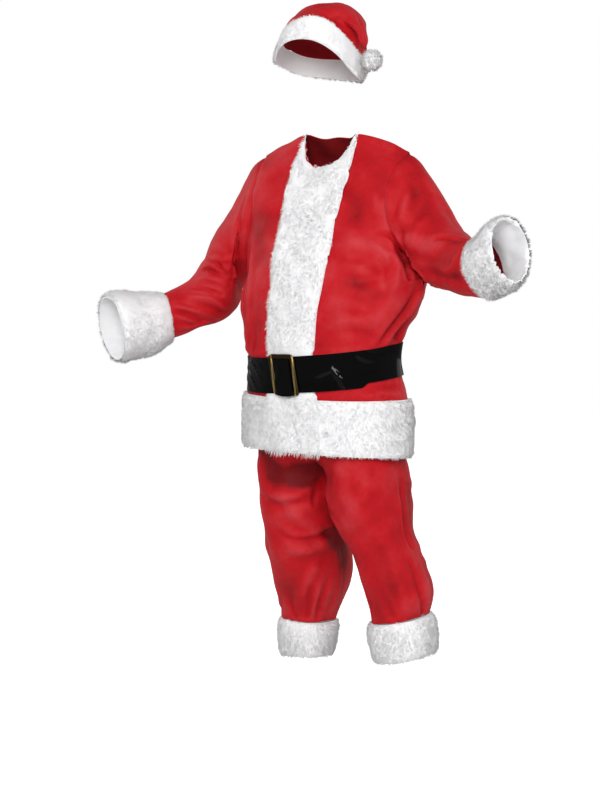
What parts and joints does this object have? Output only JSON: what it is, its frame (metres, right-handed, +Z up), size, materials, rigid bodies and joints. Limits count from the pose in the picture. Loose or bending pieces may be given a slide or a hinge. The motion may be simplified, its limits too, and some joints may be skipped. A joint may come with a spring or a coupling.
{
  "type": "santa suit",
  "caption": "Plush winter costume as worn: hollow belted jacket, trousers and cap, open at neck, cuffs and hems, with fur borders and a slide buckle",
  "frame": {"origin": "base of the wearer's neck, level with where the jacket's shoulders are carried", "axes": "+Z up, -Y the wearer's front, +X the wearer's left"},
  "size_m": [1.1481, 0.4786, 1.6166],
  "materials": {
    "red_plush": "matte plush",
    "white_fur": "matte pile",
    "black_patent": "gloss",
    "aged_brass": "aged satin"
  },
  "bodies": {
    "root": {"belt_end": "black_patent", "belt_strap": "black_patent", "buckle_bar": "aged_brass", "buckle_frame": "aged_brass", "cap_back": "red_plush", "cap_band": "white_fur", "cap_front": "red_plush", "cap_pompom": "white_fur", "cuff_left": "white_fur", "cuff_right": "white_fur", "front_band": "white_fur", "hem_band": "white_fur", "jacket_back": "red_plush", "jacket_front_left": "red_plush", "jacket_front_right": "red_plush", "leg_cuff_left": "white_fur", "leg_cuff_right": "white_fur", "sleeve_left": "red_plush", "sleeve_right": "red_plush", "trouser_back_left": "red_plush", "trouser_back_right": "red_plush", "trouser_front_left": "red_plush", "trouser_front_right": "red_plush"}
  },
  "joints": []
}
